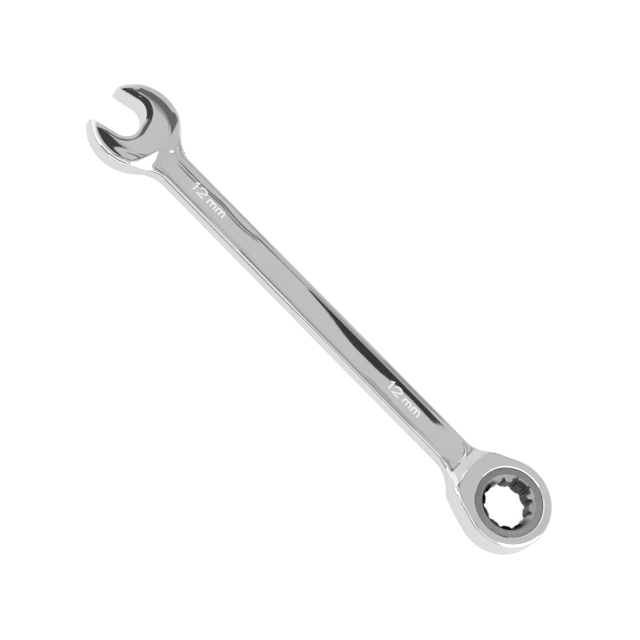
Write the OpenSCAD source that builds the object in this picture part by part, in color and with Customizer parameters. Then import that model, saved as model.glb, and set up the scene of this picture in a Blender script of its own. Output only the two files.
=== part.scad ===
// 12 mm ratcheting combination wrench: open end at one end, ratcheting
// twelve-point ring at the other. Origin: ratchet axis, at the ring's
// underside. +X runs from the open end to the ring, +Z is up.

/* [Overall] */
// Overall length of the wrench
length = 172; // [160:1:190]
// Distance across the jaw flats of the open end (12 mm nut plus clearance)
jaw_gap = 12.15; // [12.1:0.05:12.4]
// Angle of the jaw to the shank
jaw_angle = 15; // [10:1:20]

/* [Ring head] */
// Outer radius of the ring
ring_r = 13.1; // [12.9:0.1:13.6]
// Thickness of the ring head
ring_t = 8.8; // [8.7:0.1:9.2]
// Radius of the bore that the gear turns in
bore_r = 10.05; // [10.05:0.01:10.08]
// Radius of the smaller hole in the lip under the gear
lip_r = 8.90; // [8.88:0.01:8.92]
// Height of that lip
lip_h = 1.2; // [1.0:0.1:1.2]
// Width of the bevel round the mouth of the bore
bore_bevel = 0.65; // [0.4:0.05:0.8]
// Distance from the ratchet axis to the end of the ring's flat face
face_r = 14.9; // [14.6:0.1:15.2]

/* [Shank] */
// Width of the shank
shank_w = 10.2; // [9.8:0.1:10.6]
// Thickness of the shank
shank_t = 5.0; // [4.8:0.1:5.2]
// Radius of the shank's long edges
shank_edge = 1.7; // [1.2:0.1:2.0]
// Width of the long panel sunk in each face
panel_w = 6.8; // [6.0:0.1:7.2]
// Depth of that panel
panel_d = 0.35; // [0.2:0.05:0.5]
// Radius of the hollow between ring and shank
neck_fillet = 11; // [10:0.5:12]

/* [Open end] */
// Thickness of the open head
jaw_t = 8.2; // [7.8:0.1:8.4]
// Radius of the far side of the open head
head_r = 12.6; // [12.4:0.1:12.8]
// Radius of the near, longer side of the open head
head_r2 = 13.0; // [12.8:0.1:13.2]
// Depth of the jaw from the head's reference point
throat = 4.9; // [4.4:0.1:5.2]
// Radius in the corners of the throat
throat_r = 4.4; // [3.5:0.1:5.0]
// Radius of the hollow between open head and shank
head_fillet = 9; // [8:0.5:10]

/* [Ratchet] */
// Number of teeth round the gear
teeth = 72; // [60, 72]
// Radius over the tooth tips
tip_r = 9.85; // [9.83:0.01:9.87]
// Depth of a tooth
tooth_h = 0.42; // [0.38:0.01:0.44]
// Across flats of the twelve-point socket
socket_af = 12.12; // [12.1:0.01:12.2]
// Radius at the rounded bottoms of the twelve grooves
groove_r = 7.35; // [7.25:0.05:7.4]
// Radius of the gear's plain collar, which fills the bore's mouth
collar_r = 9.98; // [9.97:0.01:9.99]
// Radius of the gear's journal in the lip
journal_r = 8.83; // [8.82:0.01:8.84]
// Gap left between pawl teeth and gear teeth
mesh_gap = 0.06; // [0.05:0.01:0.08]
// How far the pawl can draw back
pawl_travel = 0.6; // [0.5:0.05:0.6]

/* [Hidden] */
mid = ring_t / 2;               // height of the shank's middle plane
jaw_x = -(length - ring_r);     // where the jaw tips end
hx = jaw_x + 12.0;              // centre of the head's far side
hx2 = jaw_x + 9.6;              // centre of the head's near side
hy = 0.55;
jx = jaw_x + 7.4;               // jaw axis crosses the shank's axis here
gear_lo = 0.35;                 // underside of the gear
gear_hi = ring_t - 0.3;         // top face of the gear
tooth_lo = lip_h + 0.3;
tooth_hi = 6.15;
clip_lo = 6.45;                 // retaining ring, lower face
clip_t = 0.6;
pocket_lo = 1.7;
pocket_hi = 6.1;
pocket_back = -13.9;
spring_z = (pocket_lo + pocket_hi) / 2;
spring_x0 = -16.6;              // fixed end of the spring
spring_x1 = -11.9;              // end in the pawl
wire = 0.32;
coil_r = 0.85;
coils = 6;
e = 0.01;

// --- plan shapes -------------------------------------------------------

// Triangle-like web between two circles and the shank edge, hollowed by a
// fillet circle of radius f that touches the circle (cx, cy, r) and y = w.
function fillet_x(cx, cy, r, f, w, s) = cx + s * sqrt(pow(r + f, 2) - pow(w + f - cy, 2));

module web(cx, cy, r, f, w, s) {
    fx = fillet_x(cx, cy, r, f, w, s);
    k = r / (r + f);
    tx = cx + (fx - cx) * k;
    ty = cy + (w + f - cy) * k;
    difference() {
        polygon([[cx, 0], [cx, cy], [tx, ty], [fx, w + f * 0.35], [fx, 0]]);
        translate([fx, w + f]) circle(r = f, $fn = 180);
        polygon([[tx, ty], [fx, w + f * 0.35], [fx, w + 2 * f], [tx, w + 2 * f]]);
    }
}

module ring_plan() {
    r2 = ring_r - 0.5;
    a = 90 + asin((ring_r - r2) / 4);
    circle(r = ring_r, $fn = 240);
    translate([-4, 0]) circle(r = r2, $fn = 240);
    polygon([[ring_r * cos(a), ring_r * sin(a)], [-4 + r2 * cos(a), r2 * sin(a)],
             [-4 + r2 * cos(a), -r2 * sin(a)], [ring_r * cos(a), -ring_r * sin(a)]]);
    for (m = [0, 1]) mirror([0, m, 0])
        web(-4, 0, r2, neck_fillet, shank_w / 2, -1);
}

module jaw_frame() { translate([jx, 0]) rotate([0, 0, 180 + jaw_angle]) children(); }

module head_plan() {
    translate([hx, hy]) circle(r = head_r, $fn = 240);
    intersection() {
        translate([hx2, hy]) circle(r = head_r2, $fn = 240);
        jaw_frame() translate([-30, 0]) square([60, 30]);
    }
    web(hx, hy, head_r, head_fillet, shank_w / 2, 1);
    mirror([0, 1, 0]) web(hx, -hy, head_r, head_fillet, shank_w / 2, 1);
}

module slot_plan() {
    g = jaw_gap / 2;
    jaw_frame() {
        translate([-throat + throat_r, -g]) square([40, 2 * g]);
        translate([-throat, -g + throat_r]) square([throat_r + e, 2 * (g - throat_r)]);
        for (s = [-1, 1]) translate([-throat + throat_r, s * (g - throat_r)])
            circle(r = throat_r, $fn = 96);
    }
}

module panel_plan() {
    x0 = fillet_x(hx, hy, head_r, head_fillet, shank_w / 2, 1) - 5.0;
    r = panel_w / 2;
    translate([x0 + 1.2, -r]) square([-x0 - 1.2 - 18 - r, 2 * r]);
    translate([x0, -r + 1.2]) square([1.2 + e, 2 * (r - 1.2)]);
    for (s = [-1, 1]) translate([x0 + 1.2, s * (r - 1.2)]) circle(r = 1.2, $fn = 64);
    translate([-18 - r, 0]) circle(r = r, $fn = 128);
}

// --- side shapes -------------------------------------------------------

// Heights along the wrench: y is height above the middle plane.
module side_plan(hi, x_face, x_low) {
    t = shank_t / 2;
    polygon([[40, -hi], [40, hi], [x_face, hi], [x_low, t - 0.4], [x_low, -t + 0.4], [x_face, -hi]]);
}

module side_cut(hi, x_face, x_low) {
    translate([0, 30, mid]) rotate([90, 0, 0]) linear_extrude(60) side_plan(hi, x_face, x_low);
}

module shank_bar() {
    x0 = hx + head_r - 6;
    w = shank_w / 2;
    t = shank_t / 2;
    translate([x0, 0, mid]) rotate([90, 0, 90]) linear_extrude(-x0 - 9) {
        square([2 * (w - shank_edge), 2 * t], center = true);
        square([2 * w, 2 * (t - shank_edge)], center = true);
        for (a = [-1, 1], b = [-1, 1])
            translate([a * (w - shank_edge), b * (t - shank_edge)]) circle(r = shank_edge, $fn = 48);
    }
}

module body_solid() {
    // ring head, falling to the shank behind its round face
    intersection() {
        linear_extrude(ring_t) ring_plan();
        union() {
            translate([0, 0, -1]) cylinder(r = face_r, h = ring_t + 2, $fn = 240);
            side_cut(ring_t / 2, -face_r + 1.2, -18.2);
        }
    }
    shank_bar();
    // open head, falling to the shank at its rear
    intersection() {
        translate([0, 0, mid - jaw_t / 2]) linear_extrude(jaw_t) head_plan();
        translate([2 * (hx + 8.8), 0, 0]) mirror([1, 0, 0])
            side_cut(jaw_t / 2, hx + 8.6, hx + 6.0);
    }
}

module wrench_body() {
    color("gainsboro")
    difference() {
        body_solid();
        // jaw
        translate([0, 0, -5]) linear_extrude(20) slot_plan();
        // panel in each face
        for (m = [-1, 1])
            translate([0, 0, mid + m * (shank_t / 2 - panel_d / 2 + 0.05)])
                linear_extrude(panel_d + 0.1, center = true) panel_plan();
        // bore for the gear, its bevel, the lip's hole and the clip groove
        translate([0, 0, lip_h]) cylinder(r = bore_r, h = 20, $fn = 240);
        translate([0, 0, ring_t - bore_bevel])
            cylinder(r1 = bore_r, r2 = bore_r + bore_bevel + 0.1, h = bore_bevel + 0.1, $fn = 240);
        translate([0, 0, -5]) cylinder(r = lip_r, h = 10, $fn = 240);
        translate([0, 0, -e]) cylinder(r1 = lip_r + 0.5, r2 = lip_r, h = 0.5, $fn = 240);
        translate([0, 0, clip_lo - 0.05]) cylinder(r = bore_r + 0.5, h = clip_t + 0.1, $fn = 240);
        // pocket for the pawl, open to the bore, and the hole for its spring
        translate([pocket_back, -4.1, pocket_lo]) cube([7, 8.2, pocket_hi - pocket_lo]);
        translate([spring_x0, 0, spring_z]) rotate([0, 90, 0]) cylinder(r = 1.25, h = 5, $fn = 48);
    }
}

// --- gear --------------------------------------------------------------

// Tooth outline, grown outwards by g. Four points a tooth: two at the tip,
// two at the root.
function tooth_pt(i, k, g) =
    let (p = 360 / teeth, a = i * p + [-0.09, 0.09, 0.41, 0.59][k] * p,
         r = (k < 2 ? tip_r : tip_r - tooth_h) + g)
    [r * cos(a), r * sin(a)];

module tooth_plan() {
    polygon([for (i = [0:teeth - 1], k = [0:3]) tooth_pt(i, k, 0)]);
}

// Twelve-point outline: two hexagons, with the grooves rounded deeper.
module socket_plan() {
    hr = socket_af / 2 / cos(30);
    union() {
        for (a = [22.5, 52.5]) rotate([0, 0, a]) circle(r = hr, $fn = 6);
        for (i = [0:11]) rotate([0, 0, 22.5 + 30 * i])
            translate([groove_r - 0.62, 0]) circle(r = 0.62, $fn = 32);
        circle(r = socket_af / 2 + 0.36, $fn = 120);
    }
}

module ratchet_gear() {
    lead = groove_r + 0.65 - 6.1;
    color("dimgray")
    difference() {
        union() {
            // journal in the lip
            translate([0, 0, gear_lo]) cylinder(r = journal_r, h = 2, $fn = 240);
            // toothed band
            translate([0, 0, tooth_lo - 0.2]) cylinder(r = tip_r - tooth_h - 0.15, h = 1, $fn = 240);
            translate([0, 0, tooth_lo]) linear_extrude(tooth_hi - tooth_lo) tooth_plan();
            // neck behind the clip
            translate([0, 0, tooth_hi - 0.5]) cylinder(r = 9.2, h = 3 - 0.5, $fn = 240);
            // collar in the mouth of the bore
            translate([0, 0, clip_lo + clip_t + 0.1])
                cylinder(r = collar_r, h = gear_hi - clip_lo - clip_t - 0.35, $fn = 240);
            translate([0, 0, gear_hi - 0.25 - e])
                cylinder(r1 = collar_r, r2 = collar_r - 0.25, h = 0.25 + e, $fn = 240);
        }
        translate([0, 0, -5]) linear_extrude(20) socket_plan();
        // lead-in cone at each face
        translate([0, 0, gear_hi - lead])
            cylinder(r1 = 6.1, r2 = 6.1 + lead + 0.1, h = lead + 0.1, $fn = 240);
        translate([0, 0, gear_lo - 0.1])
            cylinder(r1 = 6.1 + lead + 0.1, r2 = 6.1, h = lead + 0.1, $fn = 240);
    }
}

// --- pawl --------------------------------------------------------------

// Teeth that fit the gear at rest, over the pawl's arc round angle 180.
module pawl_plan() {
    difference() {
        translate([-13.1, -3.9]) square([4.6, 7.8]);
        // the gear's own outline, grown by the mesh gap
        polygon([for (i = [0:teeth - 1], k = [0:3]) tooth_pt(i, k, mesh_gap)]);
    }
}

module pawl() {
    color("silver")
    difference() {
        translate([0, 0, pocket_lo + 0.1]) linear_extrude(pocket_hi - pocket_lo - 0.2) pawl_plan();
        // blind hole for the spring
        translate([-14, 0, spring_z]) rotate([0, 90, 0]) cylinder(r = 1.25, h = 14 + spring_x1, $fn = 48);
    }
}

// --- spring ------------------------------------------------------------

function coil_centre(u) = [spring_x0 + wire / 2 + u * (spring_x1 - spring_x0 - wire),
                           coil_r * cos(360 * coils * u), coil_r * sin(360 * coils * u)];

module pawl_spring() {
    n = coils * 14;
    m = 8;
    pts = [for (i = [0:n], j = [0:m - 1])
        let (u = i / n, c = coil_centre(u), a = 360 * coils * u, b = 360 * j / m,
             o = wire / 2 * cos(b), q = wire / 2 * sin(b))
        [c[0] + q, c[1] + o * cos(a), c[2] + o * sin(a)]];
    faces = concat(
        [for (i = [0:n - 1], j = [0:m - 1]) [i * m + j, i * m + (j + 1) % m, (i + 1) * m + (j + 1) % m]],
        [for (i = [0:n - 1], j = [0:m - 1]) [i * m + j, (i + 1) * m + (j + 1) % m, (i + 1) * m + j]],
        [[for (j = [m - 1:-1:0]) j]],
        [[for (j = [0:m - 1]) n * m + j]]);
    color("lightslategray")
    translate([0, 0, spring_z]) polyhedron(points = pts, faces = faces, convexity = 10);
}

// --- retaining ring ----------------------------------------------------

module retaining_ring() {
    color("slategray")
    translate([0, 0, clip_lo]) rotate([0, 0, -155]) rotate_extrude(angle = 310, $fn = 200)
        translate([9.35, 0]) square([1.1, clip_t]);
}

wrench_body();
ratchet_gear();
pawl();
pawl_spring();
retaining_ring();
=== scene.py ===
import math

import bmesh
import bpy
import numpy as np
from mathutils import Matrix, Vector

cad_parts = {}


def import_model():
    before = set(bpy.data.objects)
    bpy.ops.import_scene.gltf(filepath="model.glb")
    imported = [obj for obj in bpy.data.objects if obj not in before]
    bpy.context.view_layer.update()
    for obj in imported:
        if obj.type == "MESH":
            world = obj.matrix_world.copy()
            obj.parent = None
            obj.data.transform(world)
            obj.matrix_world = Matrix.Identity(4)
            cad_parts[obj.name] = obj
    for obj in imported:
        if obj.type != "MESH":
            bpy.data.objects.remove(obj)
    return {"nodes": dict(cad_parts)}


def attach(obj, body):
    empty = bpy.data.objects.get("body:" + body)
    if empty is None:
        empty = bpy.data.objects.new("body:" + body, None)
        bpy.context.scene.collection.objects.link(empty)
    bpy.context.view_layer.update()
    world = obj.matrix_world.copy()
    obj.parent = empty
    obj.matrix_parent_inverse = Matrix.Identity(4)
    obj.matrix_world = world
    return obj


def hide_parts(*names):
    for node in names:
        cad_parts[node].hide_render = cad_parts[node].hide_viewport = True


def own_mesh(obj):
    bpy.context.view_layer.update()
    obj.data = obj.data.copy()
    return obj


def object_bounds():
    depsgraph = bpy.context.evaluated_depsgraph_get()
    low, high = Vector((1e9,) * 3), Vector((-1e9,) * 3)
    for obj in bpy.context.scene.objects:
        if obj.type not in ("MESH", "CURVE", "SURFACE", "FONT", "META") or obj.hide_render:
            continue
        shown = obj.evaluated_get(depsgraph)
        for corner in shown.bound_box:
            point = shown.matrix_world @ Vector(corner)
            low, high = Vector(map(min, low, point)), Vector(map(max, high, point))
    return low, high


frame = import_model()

CAD_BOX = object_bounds()
MM = 0.001

# ---------------------------------------------------------------- helpers


def rint(a, b, r):
    """Intersection of two distance fields with a convex round of radius r."""
    return np.minimum(-r, np.maximum(a, b)) + np.hypot(
        np.maximum(r + a, 0), np.maximum(r + b, 0)
    )


def runi(a, b, r):
    """Union of two distance fields with a hollow round of radius r."""
    return np.maximum(r, np.minimum(a, b)) - np.hypot(
        np.maximum(r - a, 0), np.maximum(r - b, 0)
    )


def ease(t):
    t = np.clip(t, 0, 1)
    return t * t * (3 - 2 * t)


def make_object(name, verts_mm, faces, material, body, replaces=(), sharp=None):
    mesh = bpy.data.meshes.new(name)
    mesh.from_pydata((np.asarray(verts_mm, float) * MM).tolist(), [], faces)
    mesh.validate(clean_customdata=False)
    mesh.update()
    obj = bpy.data.objects.new(name, mesh)
    bpy.context.scene.collection.objects.link(obj)
    mesh.materials.append(material)
    if sharp is not None:
        shade(obj, sharp)
    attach(obj, body)
    if replaces:
        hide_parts(*replaces)
    return obj


def shade(obj, degrees):
    """Smooth shading, with the edges steeper than that angle kept sharp."""
    bm = bmesh.new()
    bm.from_mesh(obj.data)
    bmesh.ops.recalc_face_normals(bm, faces=bm.faces)
    limit = math.radians(degrees)
    for f in bm.faces:
        f.smooth = True
    for e in bm.edges:
        e.smooth = not (len(e.link_faces) == 2 and e.calc_face_angle(0) > limit)
    bm.to_mesh(obj.data)
    bm.free()


# ---------------------------------------------------------------- the body's shape, in mm

MID = 4.4
HX, HY, JX = -146.9, 0.55, -151.5
HX2, HXF = -148.1, -147.3
JAW = math.radians(195.0)
W_OPEN, W_RING = 5.0, 5.12
GAP, THROAT, THROAT_R = 12.15 / 2, 4.9, 4.4


def capsule(px, py, r1, r2, h):
    """Two circles on the y axis, r1 at 0 and r2 at h, and their tangents."""
    px = np.abs(px)
    b = (r1 - r2) / h
    a = math.sqrt(1 - b * b)
    k = -b * px + a * py
    return np.where(
        k < 0,
        np.hypot(px, py) - r1,
        np.where(k > a * h, np.hypot(px, py - h) - r2, a * px + b * py - r1),
    )


def fillet(x, ya, cx, cy, r, f, w, s, d_end, d_line):
    """A hollow arc between a circle and the line y = w, exact on both."""
    fx = cx + s * math.sqrt((r + f) ** 2 - (w + f - cy) ** 2)
    fy = w + f
    vx, vy = x - fx, ya - fy
    cross = vx * (cy - fy) - vy * (cx - fx)
    if s < 0:
        inside, line = (vx >= 0) & (cross >= 0), vx < 0
    else:
        inside, line = (vx <= 0) & (cross <= 0), vx > 0
    return np.where(inside, f - np.hypot(vx, vy), np.where(line, d_line, d_end))


def plan(x, y):
    w = W_OPEN + (W_RING - W_OPEN) * ease((x + 128) / 100)
    ya = np.abs(y)
    line = ya - w
    far_ring = capsule(y, -x, 12.85, 9.2, 8.0)
    near_ring = capsule(y, -x, 13.1, 10.7, 8.0)
    ring = np.where(
        y > 0,
        fillet(x, ya, -8.0, 0, 9.2, 10.5, W_RING, -1, far_ring, line),
        fillet(x, ya, -8.0, 0, 10.7, 12.0, W_RING, -1, near_ring, line),
    )
    far_end = capsule(y - HY, x - HXF, 12.65, 12.6, HX - HXF)
    near_end = capsule(y - HY, x - HX2, 13.2, 12.6, HX - HX2)
    far = fillet(x, ya, HX, HY, 12.6, 11.5, W_OPEN, 1, far_end, line)
    near = fillet(x, ya, HX, -HY, 12.6, 10.5, W_OPEN, 1, near_end, line)
    v = math.sin(-JAW) * (x - JX) + math.cos(JAW) * y
    head = np.where(v > 0, near, far)
    return np.where(x > -75, ring, head)


def slot_plan(x, y):
    u = math.cos(JAW) * (x - JX) + math.sin(JAW) * y
    v = -math.sin(JAW) * (x - JX) + math.cos(JAW) * y
    return rint(np.abs(v - 0.3) - GAP, -(u + THROAT), THROAT_R)


def panel_plan(x, y):
    half = 2.95 + 0.15 * ease((x + 128) / 105)
    x0, x1 = -135.3, -18.05
    dx = np.abs(x - (x0 + x1) / 2) - (x1 - x0) / 2
    dy = np.abs(y) - half
    r = np.where(x > -75, 2.7, 0.9)
    return rint(dx, dy, r)


def body_field(p):
    x, y, z = p[:, 0], p[:, 1], p[:, 2]
    h = np.abs(z - MID)
    outline = plan(x, y)
    rho = np.hypot(x, y)
    # height of the ring: a round face, and behind it a slope to the shank
    slope = (-2.3 * (x + 13.7) + 4.5 * (h - 4.4)) / 5.054
    ring = runi(rint(rho - 14.9, h - 4.4, 0.55), rint(slope, h - 4.4, 0.15), 0.5)
    # the open head: a slightly crowned face, a slope on arcs behind it
    back = np.hypot(x + 156.3, y - 0.97)
    away = np.hypot(x - HX - 1.0, y - HY)
    jaw = slot_plan(x, y)
    u = math.cos(JAW) * (x - JX) + math.sin(JAW) * y
    edge = np.maximum(-outline, 0)
    crown = 0.05 * (away / 12.5) ** 2
    crown = crown + 0.32 * np.clip(1 - edge / 4.5, 0, 1) ** 2 * ease((-x - 134) / 8)
    side = math.sin(-JAW) * (x - JX) + math.cos(JAW) * y
    lip = 2.6 - 0.7 * ease((side - 1) / 4)
    crown = crown + 0.24 * np.clip(1 - np.maximum(jaw, 0) / lip, 0, 1) ** 2
    crown = crown + 0.24 * np.clip((u + 0.4) / 7.0, 0, 1.2) ** 2
    fall = 1.9 * (1 - 0.042 * np.clip(-y, 0, 8))
    head = rint(((back - 18.0) * fall + (h - 4.1) * 3.0) / np.hypot(fall, 3.0), h - 4.1 + crown, 0.15)
    tall = runi(runi(h - 2.5, ring, 0.3), head, 0.3)
    near_ring = ease((x + 34) / 16)
    near_head = ease((-x - 128) / 10)
    r = 1.15 + 0.2 * near_ring + 0.2 * near_head
    r = r + 0.4 * ease(-y / 2)
    solid = rint(outline, tall, r)
    # the open jaw, with eased edges
    solid = rint(solid, -jaw, 0.22)
    # a long shallow panel in each face
    pan = panel_plan(x, y)
    floor = 2.15 + 0.13 * (np.clip(y, 0, 3.4) / 3.4) ** 2
    void = rint(pan - 1.55 * np.minimum(h - 2.15, 0.5), floor - h, 0.12)
    return rint(solid, -void, 0.08)


def gradient(field, p, e=0.004):
    g = np.empty_like(p)
    for a in range(3):
        d = np.zeros(3)
        d[a] = e
        g[:, a] = (field(p + d) - field(p - d)) / (2 * e)
    return g


def axis(stops):
    """Grid lines from (position, spacing) stops, the spacing eased between."""
    at, out = stops[0][0], []
    while at < stops[-1][0]:
        out.append(at)
        at += float(np.interp(at, [q[0] for q in stops], [q[1] for q in stops]))
    return np.array(out + [at])


def surface_net(field, ax):
    """A quad mesh of the field's zero surface, one point to a cell, then
    drawn onto the surface itself."""
    n = [len(q) for q in ax]
    V = np.empty(n, np.float32)
    step = max(1, 400000 // (n[1] * n[2]))
    for i in range(0, n[0], step):
        g = np.stack(np.meshgrid(ax[0][i : i + step], ax[1], ax[2], indexing="ij"), -1)
        V[i : i + step] = field(g.reshape(-1, 3)).reshape(g.shape[:3])
    inside = V < 0
    cells = [k - 1 for k in n]
    total = np.zeros(cells, np.int8)
    for dx in (0, 1):
        for dy in (0, 1):
            for dz in (0, 1):
                total += inside[dx : dx + cells[0], dy : dy + cells[1], dz : dz + cells[2]]
    active = (total > 0) & (total < 8)
    index = np.full(cells, -1, np.int64)
    where = np.argwhere(active)
    index[active] = np.arange(len(where))
    acc = np.zeros((len(where), 3))
    cnt = np.zeros(len(where))
    corners = [(a, b, c) for a in (0, 1) for b in (0, 1) for c in (0, 1)]
    for c0 in corners:
        for axis in range(3):
            if c0[axis]:
                continue
            c1 = list(c0)
            c1[axis] = 1
            a = V[where[:, 0] + c0[0], where[:, 1] + c0[1], where[:, 2] + c0[2]].astype(float)
            b = V[where[:, 0] + c1[0], where[:, 1] + c1[1], where[:, 2] + c1[2]].astype(float)
            cut = (a < 0) != (b < 0)
            t = np.where(cut, a / np.where(cut, a - b, 1), 0)
            point = np.tile(np.array(c0, float), (len(where), 1))
            point[:, axis] += t
            acc[cut] += point[cut]
            cnt[cut] += 1
    mean = acc / cnt[:, None]
    size = np.stack([np.diff(ax[k])[where[:, k]] for k in range(3)], 1)
    p = np.stack([ax[k][where[:, k]] for k in range(3)], 1) + mean * size
    quads = []
    for axis in range(3):
        o = [(1, 2), (2, 0), (0, 1)][axis]
        a = [slice(0, n[k]) for k in range(3)]
        b = [slice(0, n[k]) for k in range(3)]
        a[axis] = slice(0, n[axis] - 1)
        b[axis] = slice(1, n[axis])
        va, vb = inside[tuple(a)], inside[tuple(b)]
        for flip, mask in ((False, va & ~vb), (True, ~va & vb)):
            e = np.argwhere(mask)
            e = e[(e[:, o[0]] > 0) & (e[:, o[1]] > 0) & (e[:, o[0]] < cells[o[0]]) & (e[:, o[1]] < cells[o[1]])]
            ring = []
            for du, dv in ((-1, -1), (0, -1), (0, 0), (-1, 0)):
                c = e.copy()
                c[:, o[0]] += du
                c[:, o[1]] += dv
                ring.append(index[c[:, 0], c[:, 1], c[:, 2]])
            q = np.stack(ring if not flip else ring[::-1], 1)
            quads.append(q)
    quads = np.concatenate(quads)
    for _ in range(5):
        g = gradient(field, p)
        f = field(p)
        move = -(f / np.maximum((g * g).sum(1), 0.2))[:, None] * g
        length = np.linalg.norm(move, axis=1, keepdims=True)
        p = p + move * np.minimum(1, 0.15 / np.maximum(length, 1e-9))
    lo, hi = (np.array(q) / MM for q in CAD_BOX)
    return np.clip(p, lo, hi), quads


def lathe(profile, n=256):
    """A closed solid turned about Z from (r, z) points, none on the axis
    but the first and last."""
    verts, faces = [], []
    rings = []
    for r, z in profile:
        if r < 1e-6:
            rings.append([len(verts)])
            verts.append((0, 0, z))
        else:
            rings.append(list(range(len(verts), len(verts) + n)))
            verts += [(r * math.cos(2 * math.pi * i / n), r * math.sin(2 * math.pi * i / n), z) for i in range(n)]
    for a, b in zip(rings, rings[1:]):
        for i in range(n):
            j = (i + 1) % n
            if len(a) == 1:
                faces.append((a[0], b[j], b[i]))
            elif len(b) == 1:
                faces.append((a[i], a[j], b[0]))
            else:
                faces.append((a[i], a[j], b[j], b[i]))
    return verts, faces


def cutter(name, verts, faces):
    mesh = bpy.data.meshes.new(name)
    mesh.from_pydata((np.asarray(verts, float) * MM).tolist(), [], faces)
    bm = bmesh.new()
    bm.from_mesh(mesh)
    bmesh.ops.recalc_face_normals(bm, faces=bm.faces)
    bm.to_mesh(mesh)
    bm.free()
    obj = bpy.data.objects.new(name, mesh)
    bpy.context.scene.collection.objects.link(obj)
    return obj


def box_mesh(x0, x1, y0, y1, z0, z1, c=0.0):
    """A plain box with its edges along the axes, not eased; c is not used."""
    v = [(x, y, z) for x in (x0, x1) for y in (y0, y1) for z in (z0, z1)]
    f = [(0, 1, 3, 2), (4, 6, 7, 5), (0, 4, 5, 1), (2, 3, 7, 6), (0, 2, 6, 4), (1, 5, 7, 3)]
    return v, f


def cut(obj, *cutters):
    for c in cutters:
        m = obj.modifiers.new("cut", "BOOLEAN")
        m.operation, m.solver, m.object = "DIFFERENCE", "EXACT", c
    dg = bpy.context.evaluated_depsgraph_get()
    mesh = bpy.data.meshes.new_from_object(obj.evaluated_get(dg), depsgraph=dg)
    obj.modifiers.clear()
    old = obj.data
    obj.data = mesh
    bpy.data.meshes.remove(old)
    for c in cutters:
        bpy.data.objects.remove(c)


# ---------------------------------------------------------------- materials


def material(name, colour, metallic, rough, coat=0.0, spec=0.5):
    m = bpy.data.materials.new(name)
    m.use_nodes = True
    t = m.node_tree
    b = t.nodes["Principled BSDF"]
    b.inputs["Base Color"].default_value = (*colour, 1)
    b.inputs["Metallic"].default_value = metallic
    b.inputs["Roughness"].default_value = rough
    b.inputs["Coat Weight"].default_value = coat
    b.inputs["Specular IOR Level"].default_value = spec
    return m, t, b


def node(t, kind, **values):
    n = t.nodes.new(kind)
    for k, v in values.items():
        if hasattr(n, k):
            setattr(n, k, v)
        else:
            n.inputs[k.replace("_", " ")].default_value = v
    return n


def noise(t, scale, detail=4.0, stretch=(1, 1, 1)):
    coords = node(t, "ShaderNodeTexCoord")
    mapping = node(t, "ShaderNodeMapping")
    mapping.inputs["Scale"].default_value = stretch
    t.links.new(coords.outputs["Object"], mapping.inputs["Vector"])
    n = node(t, "ShaderNodeTexNoise")
    n.inputs["Scale"].default_value = scale
    n.inputs["Detail"].default_value = detail
    t.links.new(mapping.outputs["Vector"], n.inputs["Vector"])
    return n


def ramp(t, source, stops):
    r = node(t, "ShaderNodeValToRGB")
    els = r.color_ramp.elements
    while len(els) < len(stops):
        els.new(0.5)
    for e, (at, c) in zip(els, stops):
        e.position = at
        e.color = (*c, 1) if len(c) == 3 else c
    t.links.new(source, r.inputs["Fac"])
    return r


def grey(v):
    return (v, v, v)


def chrome_material():
    m, t, b = material("polished_chrome", (0.8, 0.805, 0.81), 1.0, 0.05)
    # faint broad clouding of the plating, fine buffing lines along the tool
    cloud = noise(t, 60, 3)
    tint = ramp(t, cloud.outputs["Fac"], [(0.3, (0.775, 0.780, 0.785)), (0.7, (0.825, 0.828, 0.83))])
    t.links.new(tint.outputs["Color"], b.inputs["Base Color"])
    lines = noise(t, 900, 3, (0.06, 1, 1))
    rough = ramp(t, lines.outputs["Fac"], [(0.3, grey(0.022)), (0.75, grey(0.05))])
    t.links.new(rough.outputs["Color"], b.inputs["Roughness"])
    wave = noise(t, 140, 2, (0.35, 1, 1))
    fine = noise(t, 2600, 2, (0.08, 1, 1))
    add = node(t, "ShaderNodeMath", operation="MULTIPLY_ADD")
    add.inputs[1].default_value = 0.04
    t.links.new(fine.outputs["Fac"], add.inputs[0])
    t.links.new(wave.outputs["Fac"], add.inputs[2])
    bump = node(t, "ShaderNodeBump")
    bump.inputs["Strength"].default_value = 0.12
    bump.inputs["Distance"].default_value = 0.00009
    t.links.new(add.outputs["Value"], bump.inputs["Height"])
    t.links.new(bump.outputs["Normal"], b.inputs["Normal"])
    return m


def steel_material(name, dark, light, rough_lo, rough_hi, scale=1500, strength=0.15, stretch=(1, 1, 1)):
    m, t, b = material(name, light, 1.0, rough_lo)
    grain = noise(t, scale, 5, stretch)
    tint = ramp(t, grain.outputs["Fac"], [(0.3, dark), (0.7, light)])
    t.links.new(tint.outputs["Color"], b.inputs["Base Color"])
    patch = noise(t, 220, 3)
    rough = ramp(t, patch.outputs["Fac"], [(0.3, grey(rough_lo)), (0.7, grey(rough_hi))])
    t.links.new(rough.outputs["Color"], b.inputs["Roughness"])
    bump = node(t, "ShaderNodeBump")
    bump.inputs["Strength"].default_value = strength
    bump.inputs["Distance"].default_value = 0.00003
    t.links.new(grain.outputs["Fac"], bump.inputs["Height"])
    t.links.new(bump.outputs["Normal"], b.inputs["Normal"])
    return m


def mark_material():
    m, t, b = material("etched_mark", (0.95, 0.95, 0.95), 0.0, 0.6)
    grain = noise(t, 4000, 3)
    tint = ramp(t, grain.outputs["Fac"], [(0.3, grey(0.88)), (0.7, grey(0.97))])
    t.links.new(tint.outputs["Color"], b.inputs["Base Color"])
    return m


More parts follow.
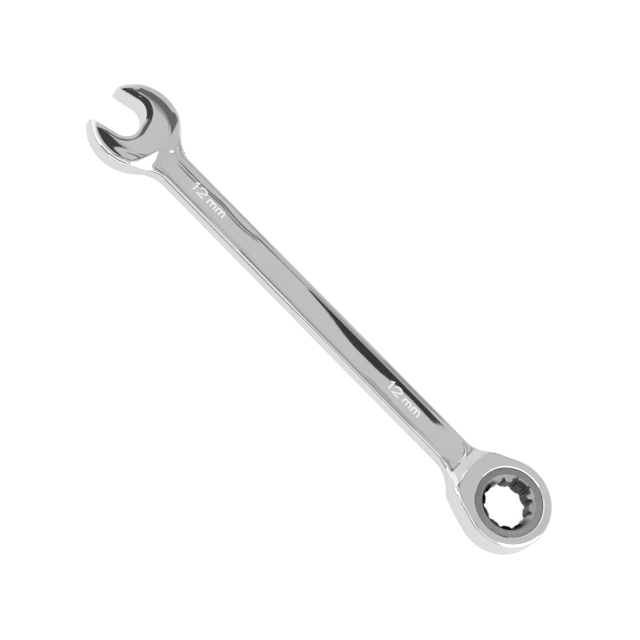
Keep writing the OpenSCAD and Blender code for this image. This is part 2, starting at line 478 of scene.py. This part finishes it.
CHROME = chrome_material()
GEAR = steel_material("gear_steel", (0.36, 0.36, 0.365), (0.43, 0.43, 0.435), 0.32, 0.42)
# the twelve-point hole's walls: the gear's own steel darkened almost to black, painted shade of the deep hole
SOCKET_PAINTED_SHADE = steel_material("gear_socket_painted_shade", (0.03, 0.03, 0.032), (0.052, 0.052, 0.055), 0.26, 0.38)
LEAD_IN = steel_material("gear_lead_in", (0.26, 0.26, 0.265), (0.33, 0.33, 0.335), 0.11, 0.16)
PAWL = steel_material("pawl_steel", (0.42, 0.42, 0.43), (0.55, 0.55, 0.56), 0.28, 0.4)
SPRING = steel_material("spring_steel", (0.48, 0.49, 0.5), (0.62, 0.63, 0.65), 0.2, 0.3, 3000)
RING = steel_material("ring_steel", (0.16, 0.16, 0.17), (0.24, 0.24, 0.25), 0.3, 0.42, 2000)
MARK = mark_material()

# ---------------------------------------------------------------- wrench body


def build_body():
    k = 1.0
    xs = axis([(-160.1, 0.235 * k), (-134, 0.235 * k), (-128, 0.9 * k), (-29, 0.9 * k), (-23, 0.235 * k), (14.2, 0.235 * k)])
    ys = axis([(-14.03, 0.265 * k), (-5.6, 0.2 * k), (5.6, 0.2 * k), (14.5, 0.265 * k)])
    top = axis([(0.03, 0.5 * k), (1.0, 0.3 * k), (1.7, 0.18 * k), (4.9, 0.18 * k)])
    zs = np.concatenate([MID - top[::-1], MID + top])
    p, quads = surface_net(body_field, [xs, ys, zs])
    obj = make_object("wrench_body_forged", p, quads.tolist(), CHROME, "body", ("wrench_body",))
    bore = cutter("bore_cutter", *lathe([
        (0, -1), (9.5, -1), (9.5, -0.05), (8.9, 0.5), (8.9, 1.2), (10.05, 1.2), (10.05, 6.35), (10.1, 6.4),
        (10.55, 6.4), (10.55, 7.1), (10.1, 7.1), (10.05, 7.15), (10.05, 8.48), (10.08, 8.58), (10.38, 8.8), (10.7, 9.035), (10.7, 10), (0, 10)]))
    pocket = cutter("pocket_cutter", *box_mesh(-13.9, -7.0, -4.1, 4.1, 1.7, 6.1))
    n = 48
    ring = [(1.25 * math.cos(2 * math.pi * i / n), 3.9 + 1.25 * math.sin(2 * math.pi * i / n)) for i in range(n)]
    hv = [(x, a, b) for x in (-16.6, -12.0) for a, b in ring]
    hf = [(i, (i + 1) % n, n + (i + 1) % n, n + i) for i in range(n)] + [tuple(range(n)), tuple(range(2 * n - 1, n - 1, -1))]
    hole = cutter("hole_cutter", hv, hf)
    cut(obj, bore, pocket, hole)
    obj.data.materials.clear()
    obj.data.materials.append(CHROME)
    for f in obj.data.polygons:
        f.material_index = 0
    shade(obj, 22)
    # the forged faces take the true surface's own normals
    me = obj.data
    co = np.empty(len(me.vertices) * 3)
    me.vertices.foreach_get("co", co)
    co = co.reshape(-1, 3) / MM
    g = gradient(body_field, co)
    g /= np.maximum(np.linalg.norm(g, axis=1, keepdims=True), 1e-9)
    onto = np.abs(body_field(co)) < 0.01
    loops = np.empty(len(me.loops), np.int64)
    me.loops.foreach_get("vertex_index", loops)
    face_n = np.empty(len(me.polygons) * 3)
    me.polygons.foreach_get("normal", face_n)
    face_n = face_n.reshape(-1, 3)
    counts = np.empty(len(me.polygons), np.int64)
    me.polygons.foreach_get("loop_total", counts)
    ln = np.repeat(face_n, counts, 0)
    gn = g[loops]
    good = onto[loops] & ((ln * gn).sum(1) > math.cos(math.radians(24)))
    corner = np.empty(len(me.loops) * 3)
    me.corner_normals.foreach_get("vector", corner)
    normals = np.where(good[:, None], gn, corner.reshape(-1, 3))
    me.normals_split_custom_set(normals.tolist())
    return obj


# ---------------------------------------------------------------- ratchet gear

TEETH, TIP, ROOT = 72, 9.85, 9.43
TOP, LOW = 8.5, 0.35
AF, GROOVE, RIDGE = 12.12 / 2, 7.35, 6.42
LEAD = GROOVE + 0.65 - 6.1


def socket_radius(a):
    """Radius of the twelve-point hole at angle a (degrees)."""
    best = np.full_like(a, RIDGE)
    for start in (22.5, 52.5):
        q = np.radians((a - start) % 60 - 30)
        best = np.maximum(best, AF / np.cos(q))
    q = np.radians((a - 22.5 + 15) % 30 - 15)
    c, r = GROOVE - 0.62, 0.62
    under = r * r - (c * np.sin(q)) ** 2
    best = np.maximum(best, np.where(under > 0, c * np.cos(q) + np.sqrt(np.maximum(under, 0)), 0))
    return best


def build_gear():
    per = 10
    pitch = 360.0 / TEETH
    at = np.array([-0.09, -0.03, 0.03, 0.09, 0.16, 0.30, 0.41, 0.47, 0.53, 0.59, 0.70, 0.84])
    angles = np.concatenate([(i + at) * pitch for i in range(TEETH)])
    n = len(angles)
    tooth = np.tile(np.array([1, 1, 1, 1, 1 - 0.07 / 0.32, 1 - 0.21 / 0.32, 0, 0, 0, 0, 0.11 / 0.32, 0.25 / 0.32]), TEETH)
    outline = ROOT + (TIP - ROOT) * np.clip(tooth, 0, 1)
    fine = np.arange(0, 360, 0.125)
    rs = socket_radius(fine)
    k = np.ones(7) / 7
    rs = np.convolve(np.concatenate([rs[-3:], rs, rs[:3]]), k, "valid")
    hole = np.interp(angles % 360, fine, rs, period=360)
    chamfer = np.full(n, TIP - 0.46)
    full = lambda v: np.full(n, float(v))
    rows = []

    def row(r, z):
        rows.append((r if isinstance(r, np.ndarray) else full(r), z if isinstance(z, np.ndarray) else full(z)))

    zl = LOW + LEAD - (hole - 6.1)
    zt = TOP - LEAD + (hole - 6.1)
    for u in (0, 0.03, 0.12, 0.5, 0.88, 0.97, 1):
        row(hole, zl + (zt - zl) * u)
    face_in = 8.02
    for u in (0.06, 0.5, 0.92):
        row(hole + (face_in - hole) * u, zt + (TOP - zt) * u)
    row(face_in - 0.03, TOP - 0.05)
    row(face_in + 0.04, TOP)
    # top face with a shallow step at two thirds of its width
    row(8.72, TOP)
    row(8.78, TOP - 0.012)
    row(8.86, TOP - 0.05)
    row(8.92, TOP - 0.06)
    row(9.86, TOP - 0.06)
    row(9.89, TOP - 0.068)
    row(9.955, TOP - 0.13)
    row(9.975, TOP - 0.16)
    row(9.98, TOP - 0.21)
    row(9.98, 7.20)
    row(9.96, 7.17)
    row(9.90, 7.15)
    row(9.22, 7.15)
    row(9.20, 7.13)
    row(9.20, 6.19)
    row(9.22, 6.15)
    row(chamfer, 6.15)
    row(np.minimum(outline, TIP - 0.12), 6.13)
    row(outline, 5.98)
    row(outline, 1.67)
    row(np.minimum(outline, TIP - 0.12), 1.52)
    row(chamfer, 1.5)
    row(9.30, 1.5)
    row(9.28, 1.48)
    row(9.28, 1.32)
    row(9.24, 1.3)
    row(8.87, 1.3)
    row(8.83, 1.27)
    row(8.83, LOW + 0.14)
    row(8.80, LOW + 0.08)
    row(8.72, LOW + 0.01)
    row(8.66, LOW)
    row(face_in + 0.04, LOW)
    row(face_in - 0.03, LOW + 0.05)
    for u in (0.92, 0.5, 0.06):
        row(hole + (face_in - hole) * u, zl + (LOW - zl) * u)
    m = len(rows)
    ca, sa = np.cos(np.radians(angles)), np.sin(np.radians(angles))
    verts = np.concatenate([np.stack([r * ca, r * sa, z], 1) for r, z in rows])
    faces = []
    for j in range(m):
        a, b = j * n, ((j + 1) % m) * n
        for i in range(n):
            i2 = (i + 1) % n
            faces.append((a + i, a + i2, b + i2, b + i))
    obj = make_object("ratchet_gear_cut", verts, faces, GEAR, "gear", ("ratchet_gear",), sharp=28)
    obj.data.materials.append(SOCKET_PAINTED_SHADE)
    obj.data.materials.append(LEAD_IN)
    index = np.zeros(m * n, np.int32)
    # the socket walls take the near-black steel, painted shade inside the hole
    index[: 6 * n] = 1
    index[6 * n : 11 * n] = 2
    index[(m - 5) * n :] = 2
    obj.data.polygons.foreach_set("material_index", index)
    return obj


# ---------------------------------------------------------------- spring, clip, marks


def build_spring():
    x0, x1, wire, rad, coils = -16.6, -11.9, 0.16, 0.85, 6
    n, m = coils * 48, 16
    verts, faces = [], []
    for i in range(n + 1):
        u = i / n
        turn = u * coils
        # the end turns lie close and the working turns spread evenly
        flat = 0.8
        total = coils
        def lead(s):
            tight, wide = 0.36, None
            wide = ((x1 - x0 - 2 * wire) - 2 * flat * tight) / (total - 2 * flat)
            if s < flat:
                return tight * s
            if s > total - flat:
                return (x1 - x0 - 2 * wire) - tight * (total - s)
            return tight * flat + wide * (s - flat)
        cx = x0 + wire + lead(turn)
        a = 2 * math.pi * turn
        w = wire * 0.98
        for j in range(m):
            b = 2 * math.pi * j / m
            o, q = w * math.cos(b), w * math.sin(b)
            verts.append((cx + q, (rad + o) * math.cos(a), 3.9 + (rad + o) * math.sin(a)))
    for i in range(n):
        for j in range(m):
            j2 = (j + 1) % m
            faces.append((i * m + j, i * m + j2, (i + 1) * m + j2, (i + 1) * m + j))
    faces.append(tuple(range(m - 1, -1, -1)))
    faces.append(tuple(range(n * m, n * m + m)))
    obj = make_object("pawl_spring_coil", verts, faces, SPRING, "body", ("pawl_spring",), sharp=40)
    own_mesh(obj)
    return obj


def build_clip():
    """A flat wire ring with eased corners, open at the pawl side."""
    r0, r1, z0, z1, c = 9.35, 10.45, 6.45, 7.05, 0.1
    section = [(r0 + c, z0), (r1 - c, z0), (r1 - c * 0.3, z0 + c * 0.3), (r1, z0 + c), (r1, z1 - c), (r1 - c * 0.3, z1 - c * 0.3),
               (r1 - c, z1), (r0 + c, z1), (r0 + c * 0.3, z1 - c * 0.3), (r0, z1 - c), (r0, z0 + c), (r0 + c * 0.3, z0 + c * 0.3)]
    n, m = 200, len(section)
    verts, faces = [], []
    for i in range(n + 1):
        a = math.radians(-155 + 310 * i / n)
        end = min(i, n - i)
        s = 1 - (0.10 if end == 0 else 0)
        for r, z in section:
            rr = (r0 + r1) / 2 + (r - (r0 + r1) / 2) * s
            zz = (z0 + z1) / 2 + (z - (z0 + z1) / 2) * s
            verts.append((rr * math.cos(a), rr * math.sin(a), zz))
    for i in range(n):
        for j in range(m):
            j2 = (j + 1) % m
            faces.append((i * m + j, i * m + j2, (i + 1) * m + j2, (i + 1) * m + j))
    faces.append(tuple(range(m - 1, -1, -1)))
    faces.append(tuple(range(n * m, n * m + m)))
    return make_object("retaining_ring_wire", verts, faces, RING, "body", ("retaining_ring",), sharp=30)


def panel_floor(y):
    return MID + 2.15 + 0.13 * (min(max(y, 0), 3.4) / 3.4) ** 2


def stroke(points, w, lift):
    """A flat ribbon of width w along points, mitred, just proud of the
    panel's floor."""
    pts = [Vector((a, b)) for a, b in points]
    n = len(pts)
    left, right = [], []
    for i, p in enumerate(pts):
        a = (p - pts[i - 1]).normalized() if i else None
        b = (pts[i + 1] - p).normalized() if i < n - 1 else None
        if a is None:
            d, k = b, 1.0
        elif b is None:
            d, k = a, 1.0
        else:
            d = (a + b).normalized()
            k = 1 / max(0.5, d.dot(a))
        nrm = Vector((-d.y, d.x)) * (w / 2 * k)
        left.append(p + nrm)
        right.append(p - nrm)
    low = [(*q, panel_floor(q.y) - 0.03) for q in left + right]
    high = [(*q, panel_floor(q.y) + lift) for q in left + right]
    verts = low + high
    faces = []
    for i in range(n - 1):
        L, R, l, r = i, n + i, 2 * n + i, 3 * n + i
        faces += [(L, L + 1, R + 1, R), (l, r, r + 1, l + 1), (L, l, l + 1, L + 1), (R, R + 1, r + 1, r)]
    faces += [(0, n, 3 * n, 2 * n), (n - 1, 3 * n - 1, 4 * n - 1, 2 * n - 1)]
    return verts, faces


def build_mark(name, x_start, y_mid):
    """A plain 12 mm size mark in single strokes, its top towards +Y."""
    s = 2.65
    one = [[(0.0, 0.80), (0.26, 1.0), (0.26, 0.0)]]
    arc = [(0.42 - 0.40 * math.cos(a), 0.70 + 0.28 * math.sin(a)) for a in np.linspace(0.1, math.pi * 1.10, 14)]
    two = [arc + [(0.05, 0.05), (0.84, 0.05)]]

    def hump(a, b):
        r, top = (b - a) / 2, 0.64
        return [(a + r - r * math.cos(q), top - r * 0.95 + r * 0.95 * math.sin(q)) for q in np.linspace(0.15, math.pi, 11)] + [(b, 0.0)]

    em = [[(0, 0), (0, 0.66)], hump(0, 0.40), hump(0.40, 0.80)]
    layout = [(0.0, one, 1.0), (0.62, two, 1.0), (1.98, em, 1.0), (3.06, em, 1.0)]
    verts, faces = [], []
    for off, glyph, k in layout:
        for at, line in enumerate(glyph):
            pts = [(x_start + (off + a * k) * s * 1.17, y_mid + (b - 0.5) * s) for a, b in line]
            v, f = stroke(pts, 0.46, 0.016 + 0.004 * at)
            faces += [tuple(q + len(verts) for q in face) for face in f]
            verts += v
    return make_object(name, verts, faces, MARK, "body", sharp=30)


body = build_body()
gear = build_gear()
spring = build_spring()
clip = build_clip()
marks = [
    build_mark("size_mark_open_end", -124.6, 0.5),
    build_mark("size_mark_ring_end", -46.9, 0.3),
]

pawl = frame["nodes"]["pawl"]
pawl.data.materials.clear()
pawl.data.materials.append(PAWL)

# ---------------------------------------------------------------- camera


def look_camera(azimuth, elevation, roll, distance, look, lens, shift=(0, 0)):
    a, e, r = (math.radians(q) for q in (azimuth, elevation, roll))
    z = Vector((math.sin(a) * math.cos(e), -math.cos(a) * math.cos(e), math.sin(e)))
    x = Vector((0, 0, 1)).cross(z).normalized()
    y = z.cross(x)
    X = x * math.cos(r) + y * math.sin(r)
    Y = -x * math.sin(r) + y * math.cos(r)
    data = bpy.data.cameras.new("camera")
    cam = bpy.data.objects.new("camera", data)
    bpy.context.scene.collection.objects.link(cam)
    m = Matrix.Identity(4)
    for i in range(3):
        m[i][0], m[i][1], m[i][2] = X[i], Y[i], z[i]
        m[i][3] = look[i] + z[i] * distance
    cam.matrix_world = m
    data.sensor_width = 36
    data.lens = lens
    data.shift_x, data.shift_y = shift
    data.clip_start, data.clip_end = 0.01, 30
    bpy.context.scene.camera = cam
    return cam


camera = look_camera(1.64, 64.44, 43.95, 0.9, (-0.073058, -0.000149, 0.0044), 181.29)

# ---------------------------------------------------------------- studio


def emission(name, value):
    m = bpy.data.materials.new(name)
    m.use_nodes = True
    t = m.node_tree
    t.nodes.clear()
    out = t.nodes.new("ShaderNodeOutputMaterial")
    e = t.nodes.new("ShaderNodeEmission")
    e.inputs["Color"].default_value = (value, value, value, 1)
    t.links.new(e.outputs["Emission"], out.inputs["Surface"])
    return m


def floor():
    mesh = bpy.data.meshes.new("floor")
    s = 6.0
    mesh.from_pydata([(-s, -s, 0), (s, -s, 0), (s, s, 0), (-s, s, 0)], [], [(0, 1, 2, 3)])
    o = bpy.data.objects.new("floor", mesh)
    bpy.context.scene.collection.objects.link(o)
    m, t, b = material("floor_paper", (0.16, 0.16, 0.16), 0.0, 0.9, spec=0.0)
    b.inputs["Emission Color"].default_value = (1, 1, 1, 1)
    path = t.nodes.new("ShaderNodeLightPath")
    level = node(t, "ShaderNodeMath", operation="MULTIPLY_ADD")
    level.inputs[1].default_value = 0.2
    level.inputs[2].default_value = 0.73
    t.links.new(path.outputs["Is Camera Ray"], level.inputs[0])
    t.links.new(level.outputs["Value"], b.inputs["Emission Strength"])
    mesh.materials.append(m)
    return o


def world():
    w = bpy.data.worlds.new("studio")
    bpy.context.scene.world = w
    w.use_nodes = True
    t = w.node_tree
    t.nodes.clear()
    out = t.nodes.new("ShaderNodeOutputWorld")
    bg = t.nodes.new("ShaderNodeBackground")
    coords = t.nodes.new("ShaderNodeTexCoord")
    sep = t.nodes.new("ShaderNodeSeparateXYZ")
    t.links.new(coords.outputs["Generated"], sep.inputs["Vector"])
    r = ramp(t, sep.outputs["Z"], [(0.0, grey(0.95)), (0.3, grey(0.86)), (0.72, grey(0.70)), (1.0, grey(0.66))])
    back = ramp(t, sep.outputs["Z"], [(0.0, grey(0.68)), (0.5, grey(0.62)), (1.0, grey(0.66))])
    side = t.nodes.new("ShaderNodeMapRange")
    side.inputs["From Min"].default_value = 0.0
    side.inputs["From Max"].default_value = 0.3
    t.links.new(sep.outputs["Y"], side.inputs["Value"])
    both = t.nodes.new("ShaderNodeMixRGB")
    t.links.new(side.outputs["Result"], both.inputs["Fac"])
    t.links.new(r.outputs["Color"], both.inputs["Color1"])
    t.links.new(back.outputs["Color"], both.inputs["Color2"])
    t.links.new(both.outputs["Color"], bg.inputs["Color"])
    bg.inputs["Strength"].default_value = 1.0
    path = t.nodes.new("ShaderNodeLightPath")
    white = t.nodes.new("ShaderNodeBackground")
    white.inputs["Color"].default_value = (1, 1, 1, 1)
    mix = t.nodes.new("ShaderNodeMixShader")
    t.links.new(path.outputs["Is Camera Ray"], mix.inputs["Fac"])
    t.links.new(bg.outputs["Background"], mix.inputs[1])
    t.links.new(white.outputs["Background"], mix.inputs[2])
    t.links.new(mix.outputs["Shader"], out.inputs["Surface"])


def area(name, at, to, size, power):
    d = bpy.data.lights.new(name, "AREA")
    d.shape, d.size, d.size_y, d.energy = "RECTANGLE", size[0], size[1], power
    o = bpy.data.objects.new(name, d)
    bpy.context.scene.collection.objects.link(o)
    o.location = at
    o.rotation_euler = (Vector(to) - Vector(at)).to_track_quat("-Z", "Y").to_euler()
    o.visible_camera = False
    o.visible_glossy = False
    return o


def flag(name, points, value):
    """A flat card of any outline, seen only in reflections."""
    mesh = bpy.data.meshes.new(name)
    mesh.from_pydata(points, [], [tuple(range(len(points)))])
    o = bpy.data.objects.new(name, mesh)
    bpy.context.scene.collection.objects.link(o)
    mesh.materials.append(emission(name, value))
    o.visible_camera = False
    o.visible_diffuse = False
    o.visible_shadow = False
    return o


world()
floor()
Z = 0.6


def over(name, points, value, z=Z):
    flag(name, [(x, y, z) for x, y in points], value)


over("flag_shank", [(-0.0948, 0.2068), (-0.0876, 0.2122), (-0.0804, 0.2213), (-0.0755, 0.2341), (-0.0707, 0.2491), (-0.0659, 0.2605), (-0.061, 0.2682), (-0.0514, 0.2682), (-0.0417, 0.2634), (-0.0369, 0.2538), (-0.0321, 0.2397), (-0.0224, 0.2341), (-0.0128, 0.2397), (-0.0075, 0.2453), (-0.005, 0.2), (0.0, 0.15), (-0.0956, 0.15)], 0.045)
over("flag_shank_front", [(-0.0956, 0.15), (-0.012, 0.15), (-0.012, -0.55), (-0.0956, -0.55)], 0.44)
over("flag_line_outer", [(-0.1812, 0.2222), (-0.1769, 0.2277), (-0.1721, 0.2277), (-0.1672, 0.2277), (-0.1624, 0.2277), (-0.1576, 0.2185), (-0.1528, 0.2158), (-0.1503, 0.2158), (-0.1479, 0.2203), (-0.1431, 0.2258), (-0.1383, 0.2277), (-0.1335, 0.2213), (-0.1286, 0.2095), (-0.1286, 0.197), (-0.1335, 0.2086), (-0.1383, 0.2149), (-0.1431, 0.2131), (-0.1479, 0.2077), (-0.1503, 0.2032), (-0.1528, 0.2032), (-0.1576, 0.2059), (-0.1624, 0.2149), (-0.1672, 0.2149), (-0.1721, 0.2149), (-0.1769, 0.2149), (-0.1812, 0.2095)], 0.13)
over("flag_line_inner", [(-0.1812, 0.251), (-0.1769, 0.2548), (-0.1721, 0.2548), (-0.1672, 0.2481), (-0.1624, 0.2434), (-0.1576, 0.236), (-0.1528, 0.2314), (-0.1503, 0.2332), (-0.1479, 0.2434), (-0.1431, 0.2491), (-0.1383, 0.25), (-0.1335, 0.2406), (-0.1286, 0.2249), (-0.1286, 0.214), (-0.1335, 0.2295), (-0.1383, 0.2388), (-0.1431, 0.2378), (-0.1479, 0.2323), (-0.1503, 0.2222), (-0.1528, 0.2203), (-0.1576, 0.2249), (-0.1624, 0.2323), (-0.1672, 0.2369), (-0.1721, 0.2434), (-0.1769, 0.2434), (-0.1812, 0.2397)], 0.16)
over("flag_line_join", [(-0.1297, 0.205), (-0.0956, 0.19), (-0.0956, -0.1), (-0.1297, -0.1)], 0.1)
over("flag_jaw", [(-0.42, 0.02), (-0.42, 0.22), (-0.30, 0.235), (-0.29, 0.262), (-0.20, 0.262), (-0.20, 0.17), (-0.165, 0.155), (-0.15, 0.13), (-0.15, 0.02)], 0.055)
over("flag_left", [(-0.355, 0.10), (-0.355, 0.34), (-0.258, 0.34), (-0.258, 0.10)], 0.13, Z + 0.01)
over("flag_back", [(-0.32, 0.325), (-0.178, 0.325), (-0.178, 0.43), (-0.32, 0.43)], 0.16)
over("flag_slope_open", [(-0.178, 0.32), (-0.125, 0.32), (-0.125, 0.5), (-0.15, 0.5), (-0.178, 0.43)], 0.16)
over("flag_slope_ring", [(-0.045, 0.32), (0.0, 0.32), (0.0, 0.52), (-0.045, 0.52)], 0.1)
over("flag_back_soft", [(-0.32, 0.307), (-0.186, 0.307), (-0.186, 0.33), (-0.32, 0.33)], 0.34, Z + 0.004)
flag("box_front", [(x, -0.8, z) for x, z in [(-1.0, 0.15), (-0.095, 0.15), (-0.095, 0.85), (-1.0, 0.85)]], 1.5)
flag("box_front_dark", [(x, -0.8, z) for x, z in [(-1.2, 0.0), (-0.095, 0.0), (-0.095, 0.15), (-1.2, 0.15)]], 0.3)
flag("box_front_low", [(x, -0.8, z) for x, z in [(-0.095, 0.05), (0.9, 0.05), (0.9, 0.95), (-0.095, 0.95)]], 1.3)
flag("flag_socket", [(x, -0.79, z) for x, z in [(-0.43, 0.22), (0.89, 0.22), (0.89, 0.5), (-0.43, 0.5)]], 0.05)
flag("box_right", [(0.9, y, z) for y, z in [(-0.8, 0.05), (0.47, 0.05), (0.47, 1.8), (-0.8, 1.8)]], 1.4)
flag("box_left", [(-0.9, y, z) for y, z in [(-0.8, 0.05), (0.3, 0.05), (0.3, 0.95), (-0.8, 0.95)]], 1.1)
flag("box_left_back", [(-0.9, y, z) for y, z in [(0.3, 0.2), (1.2, 0.2), (1.2, 1.3), (0.3, 1.3)]], 0.82)
area("soft_top", (-0.07, -0.2, 1.6), (-0.07, 0, 0), (2.4, 2.4), 12)
bpy.context.scene.view_settings.view_transform = "Standard"
